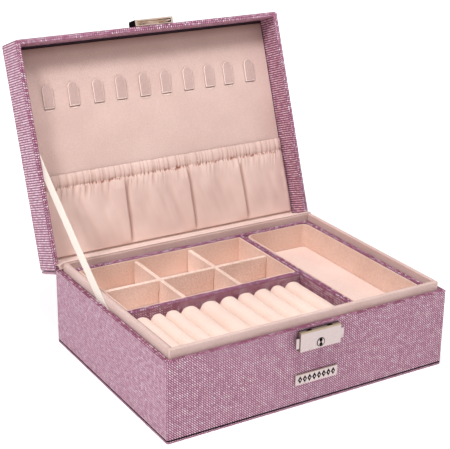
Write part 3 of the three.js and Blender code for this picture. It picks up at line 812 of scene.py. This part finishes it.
def pocket_height(x_mm, s_mm):
    """Height of the cloth over the panel at x and at s below the header's top edge, in mm."""
    gather = ruche(x_mm, 1.7)
    strength = 0.55 + 0.6 * noise.noise(Vector((x_mm * 0.12, 2.2, 9.0)))
    if s_mm < HEADER:
        t = s_mm / HEADER
        swell = math.sin(math.pi * min(1, t * 0.9 + 0.06)) ** 0.6
        return 1.0 + 1.7 * swell + 0.75 * gather * (0.5 + 0.5 * t)
    below = s_mm - HEADER
    t = below / (POCKET_LENGTH - HEADER)
    seam = math.exp(-((below - 0.8) / 0.9) ** 2)
    pucker = math.exp(-below / 2.6)
    fullness = 1 - math.exp(-below / 6)
    rise = 1.5 + 3.0 * fullness * (1 - 0.5 * t ** 3)
    small = 1.1 * gather * strength * pucker
    small += 0.9 * ruche(x_mm + 0.24 * below, 8.2, 9.5) * strength * math.exp(-((below - 5) / 6) ** 2)
    broad = 2.6 * noise.noise(Vector((x_mm * 0.03, 3.7, t * 0.5))) * fullness
    broad += 2.2 * noise.noise(Vector(((x_mm + 22 * t) * 0.06, 7.7, t * 0.8))) * fullness * (1 - 0.4 * t)
    broad += 1.0 * noise.noise(Vector(((x_mm - 14 * t) * 0.13, 2.4, t * 1.6))) * fullness * (1 - 0.3 * t)
    fold = 0.0
    for top, bottom in POCKET_CREASES:
        d = x_mm - (top + (bottom - top) * t ** 0.7)
        ease = min(1, below / 10)
        if d < 0:
            fold += 2.0 * math.exp(-(d / 9.0) ** 2) * ease
        else:
            fold += (3.5 * math.exp(-(d / 1.5) ** 2) - 1.5 * math.exp(-(d / 4.5) ** 2)) * ease
    height = rise + small + broad * (1 - t ** 5) + fold * (1 - t ** 14)
    return max(0.5, height - 1.3 * seam * (0.7 - 0.3 * gather))


PANEL_DRAWN_IN = (0.7 * MM, 2.2 * MM)  # from the side walls and from the front wall


def build_panel(mats):
    """The lining panel, drawn in from the lid's walls, with a dark frame laid in the gap all round as painted
    shade.
    """
    panel = refined("lid_panel_velvet", "lid_panel", mats["panel_velvet"], 0.3 * MM, 2)
    lo, hi = shut_box("lid_panel")
    for vertex in panel.data.vertices:
        p = UNLID @ vertex.co
        if p.y < lo.y + 1 * MM:
            p.y += PANEL_DRAWN_IN[1]
        if abs(p.x) > hi.x - 1 * MM:
            p.x -= math.copysign(PANEL_DRAWN_IN[0], p.x)
        vertex.co = LID @ p
    stand_for(panel, "lid", "lid_panel")
    # A dark frame under the panel's edges: painted shade in the gap between the panel and the lid's walls.
    boxes = frame_boxes(((lo.x - 0.2 * MM, hi.x + 0.2 * MM), (lo.y - 0.2 * MM, hi.y)),
                        ((lo.x + 1.4 * MM, hi.x - 1.4 * MM), (lo.y + 2.9 * MM, hi.y - 1 * MM)),
                        (lo.z + 0.8 * MM, lo.z + 1.4 * MM))
    joint = from_faces("panel_gap_painted_shade", *box_faces(*boxes), mats["groove"], LID, smooth=False)
    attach(bevelled(joint, 0.1 * MM), "lid")


def build_hook(node, mats):
    """A flat velvet tab whose pale rim is a painted highlight, the dark cut it comes out of with painted
    shade in it and a painted shadow along the tab's right side, and the cut's raised lip, pale with painted
    highlight.
    """
    piece = refined(node + "_velvet", node, mats["hook_velvet"], 1.3 * MM, 3)
    # The tab's sides and edges take a pale painted highlight.
    piece.data.materials.append(mats["hook_painted_highlight"])
    turn = UNLID.to_3x3()
    for polygon in piece.data.polygons:
        if (turn @ polygon.normal).z > -0.97:
            polygon.material_index = 1
    stand_for(piece, "lid", node)
    lo, hi = shut_box(node)
    face = shut_box("lid_panel")[0].z
    x = (lo.x + hi.x) / 2
    half = (hi.x - lo.x) / 2
    near, far = face - 0.12 * MM, face + 0.3 * MM
    # Painted shade: a dark strip in the cut at the tab's root, and a painted shadow down the tab's right
    # side.
    boxes = [((lo.x + 0.2 * MM, hi.y - 0.5 * MM, near), (hi.x - 0.1 * MM, hi.y + 0.75 * MM, far)),
             ((hi.x - 0.25 * MM, lo.y + half, near), (hi.x + 0.55 * MM, hi.y + 0.3 * MM, far))]
    slit = from_faces(node + "_slit", *box_faces(*boxes), mats["slit"], LID, smooth=False)
    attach(bevelled(slit, 0.1 * MM), "lid")
    # The lip's pale colour is a painted highlight.
    verts, steps, around = [], 16, 8
    for i in range(steps + 1):
        t = 2 * i / steps - 1
        y = hi.y + (1.0 + 0.9 * (1 - t * t)) * MM
        r = 0.5 * MM * math.sqrt(1.02 - t * t)
        for j in range(around):
            a = 2 * math.pi * j / around
            verts.append((x + t * half * 0.8, y + 0.7 * r * math.cos(a), face - 0.05 * MM + r * math.sin(a)))
    lip = from_faces(node + "_lip", verts, tube_faces(steps + 1, around), mats["hook_painted_highlight"], LID)
    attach(lip, "lid")


def pocket_stitch(x_mm, s_mm):
    """How much of a dark pucker stitch lies at this point of the seam under the header, from 0 to 1."""
    shift = noise.noise(Vector((x_mm * 0.2, 5.5, 1.1)))
    lean = (s_mm - STITCH_LINE) * 0.5
    wave = math.sin(2 * math.pi * ((x_mm + lean) / 3.3 + 1.4 * shift))
    height = math.exp(-(s_mm - STITCH_LINE - 0.8 * shift) ** 2)
    return max(0.0, wave) * height * (0.55 + 0.6 * noise.noise(Vector((x_mm * 0.35, 1.5, 6.1))))


def build_pocket(mats):
    """The gathered pocket: one sheet, its header ruched on the elastic and its fullness falling in folds."""
    lo, hi = shut_box("pocket_cloth")
    columns, rows = 400, 96
    inset = 0.3 * MM
    width = hi.x - lo.x - 2 * inset
    length = hi.y - lo.y
    base = hi.z
    heights = np.zeros((rows + 1, columns + 1))
    stitches = np.zeros((rows + 1, columns + 1))
    for r in range(rows + 1):
        s = length * (r / rows) / MM
        for c in range(columns + 1):
            x = lo.x + inset + width * c / columns
            ends = min(1.0, (min(x - lo.x, hi.x - x)) / (3 * MM))
            h = pocket_height(x / MM, s)
            heights[r, c] = h * (0.45 + 0.55 * math.sqrt(max(0.0, ends)))
            if 8 < s < 15:
                stitches[r, c] = pocket_stitch(x / MM, s)
    verts = []
    for r in range(rows + 1):
        for c in range(columns + 1):
            x = lo.x + inset + width * c / columns
            wave = 0.35 * MM * ruche(x / MM, 1.7) if r == 0 else 0
            verts.append((x, lo.y + length * r / rows - wave, base - heights[r, c] * MM))
    faces = []
    across = columns + 1
    for r in range(rows):
        for c in range(columns):
            a = r * across + c
            faces.append((a, a + across, a + across + 1, a + 1))
    piece = from_faces("pocket_front", verts, faces, mats["pocket"], LID)
    # Painted shade: the cloth is darkened where it lies lower than the cloth beside it; the seam's dark
    # stitches are added in.
    reach = 7
    around = heights.copy()
    for shift in range(1, reach + 1):
        around += np.roll(heights, shift, 1) + np.roll(heights, -shift, 1)
    around /= 2 * reach + 1
    hollow = np.clip((around - heights) / 1.9, 0, 0.42) + 2.0 * stitches
    attribute = piece.data.attributes.new("hollow", "FLOAT", "POINT")
    attribute.data.foreach_set("value", np.clip(hollow, 0, 1).ravel().astype(np.float32))
    thicken = piece.modifiers.new("thickness", "SOLIDIFY")
    thicken.thickness = 0.5 * MM
    thicken.offset = -1
    applied(piece)
    stand_for(piece, "lid", "pocket_cloth")


LINER_EAR = 3.2 * MM  # how far the lining's ends reach past the collar, to close the corners


def build_hinge_covers(mats):
    """The covering and the lining that cross the hinge."""
    spine = refined("hinge_spine_cover", "hinge_spine", mats["glitter"], 0.15 * MM, 1)
    bead_uv(spine)
    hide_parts("hinge_spine")
    lo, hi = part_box("hinge_spine")
    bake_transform(spine)
    liner = refined("hinge_liner_velvet", "hinge_liner", mats["velvet"], 0.15 * MM, 1)
    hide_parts("hinge_liner")
    lo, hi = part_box("collar_back")
    for vertex in liner.data.vertices:
        middle = hi.y + 0.2 * MM < vertex.co.y < hi.y + 9 * MM
        if middle and abs(vertex.co.x) > hi.x - 1 * MM:
            vertex.co.x += math.copysign(LINER_EAR, vertex.co.x)
            vertex.co.z -= 0.8 * MM if vertex.co.y > hi.y + 2 * MM else 3.4 * MM
    lo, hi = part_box("hinge_liner")
    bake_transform(liner)


def build_stay(mats):
    """The ribbon that holds the lid, with a slight sag and thicker edges."""
    points = np.unique(np.round([v.co for v in NODES["stay_ribbon"].data.vertices], 6), axis=0)
    middle = points.mean(0)
    _, _, axes = np.linalg.svd(points - middle)
    along = Vector(axes[0] if axes[0][2] > 0 else -axes[0])
    side = Vector((0, -along.z, along.y))
    reach = [(Vector(p) - Vector(middle)).dot(along) for p in points]
    spread = [(Vector(p) - Vector(middle)).dot(side) for p in points]
    start = Vector(middle) + along * min(reach)
    run = along * (max(reach) - min(reach))
    width = max(spread) - min(spread)
    steps, lanes = 90, 12
    thickness = 0.35 * MM
    verts = []
    for layer in (-0.5, 0.5):
        for i in range(steps + 1):
            t = i / steps
            curl = 0.55 * MM * math.sin(math.pi * t) ** 2
            for j in range(lanes + 1):
                w = 2 * j / lanes - 1
                edge = 1.5 if j in (0, 1, lanes - 1, lanes) else 0.8
                p = start + run * t + side * (w * width / 2)
                bow = curl * (1 - w * w) + layer * thickness * edge
                verts.append((p.x - bow, p.y, p.z - 0.9 * MM * math.sin(math.pi * t)))
    across = lanes + 1
    top = (steps + 1) * across
    faces = []
    for i in range(steps):
        for j in range(lanes):
            a = i * across + j
            faces.append((a, a + 1, a + across + 1, a + across))
            faces.append((top + a, top + a + across, top + a + across + 1, top + a + 1))
        for j in (0, lanes):
            a = i * across + j
            quad = (a, a + across, top + a + across, top + a)
            faces.append(quad if j == 0 else quad[::-1])
    for i in (0, steps):
        for j in range(lanes):
            a = i * across + j
            quad = (a, top + a, top + a + 1, a + 1)
            faces.append(quad if i == 0 else quad[::-1])
    piece = from_faces("stay_ribbon_woven", verts, faces, mats["ribbon"])
    layer = piece.data.uv_layers.new(name="weave")
    for loop in piece.data.loops:
        p = piece.data.vertices[loop.vertex_index].co - start
        layer.data[loop.index].uv = (p.dot(side) / (0.9 * MM), p.dot(along) / (0.7 * MM))
    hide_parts("stay_ribbon")
    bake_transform(piece)


# ---------------------------------------------------------------- lock, hasp and plate
def disc_ring(x, z, front, inner, outer, depth, segments=40):
    """A flat ring in the plane of the lock's face, as vertices and faces."""
    verts, faces = [], []
    for y in (front, front + depth):
        for r in (inner, outer):
            for i in range(segments):
                a = 2 * math.pi * i / segments
                verts.append((x + r * math.cos(a), y, z + r * math.sin(a)))
    n = segments
    for i in range(n):
        k = (i + 1) % n
        faces += [(i, k, n + k, n + i), (2 * n + i, 3 * n + i, 3 * n + k, 2 * n + k),
                  (n + i, n + k, 3 * n + k, 3 * n + i), (i, 2 * n + i, 2 * n + k, k)]
    return verts, faces


def prism(outline, front, back):
    """A thin slab whose outline is a list of (x, z) points, as vertices and faces."""
    n = len(outline)
    verts = [(x, y, z) for y in (front, back) for x, z in outline]
    faces = [tuple(range(n)), tuple(reversed(range(n, 2 * n)))]
    faces += [(i, n + i, n + (i + 1) % n, (i + 1) % n) for i in range(n)]
    return verts, faces


KEY_AXIS_Z = 53 * MM


def build_key(mats):
    """The key cylinder: a bright face, a dark gap round it, and two dark lobes above and below its centre."""
    stand_for(refined("key_cylinder_metal", "key_cylinder", mats["nickel"], 0.15 * MM, 2), "key_cylinder",
              "key_cylinder")
    lo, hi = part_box("key_cylinder")
    x, z, front = (lo.x + hi.x) / 2, KEY_AXIS_Z, lo.y
    ring = disc_ring(x, z, front - 0.06 * MM, 3.05 * MM, 3.5 * MM, 0.2 * MM)
    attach(from_faces("key_gap", *ring, mats["recess"]), "key_cylinder")
    for name, way in (("upper", 1), ("lower", -1)):
        outline = []
        steps = 28
        for i in range(steps):
            a = 2 * math.pi * i / steps
            r = 1.5 * MM * (1 - 0.2 * max(0.0, -math.sin(a)) ** 2)
            outline.append((x + r * math.cos(a) * 0.95, z + way * (1.6 * MM + r * math.sin(a))))
        lobe = from_faces(f"key_lobe_{name}", *prism(outline, front - 0.07 * MM, front + 0.1 * MM),
                          mats["recess"], smooth=False)
        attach(lobe, "key_cylinder")


def build_plate_ornament(mats):
    """The front plate's plain ornament: a row of dark diamonds, each with a small bright stud."""
    lo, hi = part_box("front_plate")
    middle_z = (lo.z + hi.z) / 2
    count = 8
    margin = 2 * MM
    span = (hi.x - lo.x) - 2 * margin
    half_w, half_h = 1.95 * MM, 3.1 * MM
    for i in range(count):
        x = lo.x + margin + span * (i + 0.5) / count
        points = [(x - half_w, middle_z), (x, middle_z - half_h),
                  (x + half_w, middle_z), (x, middle_z + half_h)]
        dark = from_faces(f"plate_diamond_{i}", *prism(points, lo.y - 0.05 * MM, lo.y + 0.1 * MM),
                          mats["recess"], smooth=False)
        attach(dark, "case")
        points = [(x + 0.6 * MM * math.cos(k * math.pi / 4), middle_z + 0.9 * MM * math.sin(k * math.pi / 4))
                  for k in range(8)]
        stud = from_faces(f"plate_stud_{i}", *prism(points, lo.y - 0.35 * MM, lo.y),
                          mats["nickel"], smooth=False)
        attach(bevelled(stud, 0.15 * MM), "case")


def build_metal(mats):
    """The lock, the plate under it and the hasp. On the nickel, the top and left-facing faces take a darker
    copy of the metal as painted shade, and the upward bevels a champagne tone.
    """
    for node, material, width in (("lock_cover", "nickel", 0.3), ("lock_backplate", "dark_metal", 0.1),
                                  ("front_plate", "nickel", 0.3)):
        piece = refined(node + "_metal", node, mats[material], width * MM, 3)
        if material == "nickel":
            piece.data.materials.append(mats["champagne"])
            piece.data.materials.append(mats["shaded_metal"])
            for polygon in piece.data.polygons:
                # Painted shade: the top faces and the faces turned left take the darker metal.
                if polygon.normal.z > 0.98 or polygon.normal.x < -0.6:
                    polygon.material_index = 2
                elif polygon.normal.z > 0.4:
                    polygon.material_index = 1
        stand_for(piece, "case", node)
    for node in ("left_tab_spring", "right_tab_spring"):
        paint(NODES[node].data, mats["spring_steel"])
    for node in ("left_tab", "right_tab"):
        stand_for(refined(node + "_metal", node, mats["nickel"], 0.15 * MM, 2), node, node)
    build_key(mats)
    build_plate_ornament(mats)
    for node in ("hasp_plate", "hasp_hook_left", "hasp_hook_right"):
        piece = refined(node + "_metal", node, mats["hasp"], 0.3 * MM, 2)
        if node == "hasp_plate":
            # The hasp's left end face is painted nearly black: painted shade.
            piece.data.materials.append(mats["recess"])
            for polygon in piece.data.polygons:
                if polygon.normal.x < -0.7:
                    polygon.material_index = 1
        stand_for(piece, "lid", node)


# ---------------------------------------------------------------- assembly
make_camera()
make_light()
make_floor()
MATS = make_materials()
build_case(MATS)
build_tray(MATS)
build_lid(MATS)
build_hinge_covers(MATS)
build_stay(MATS)
build_metal(MATS)
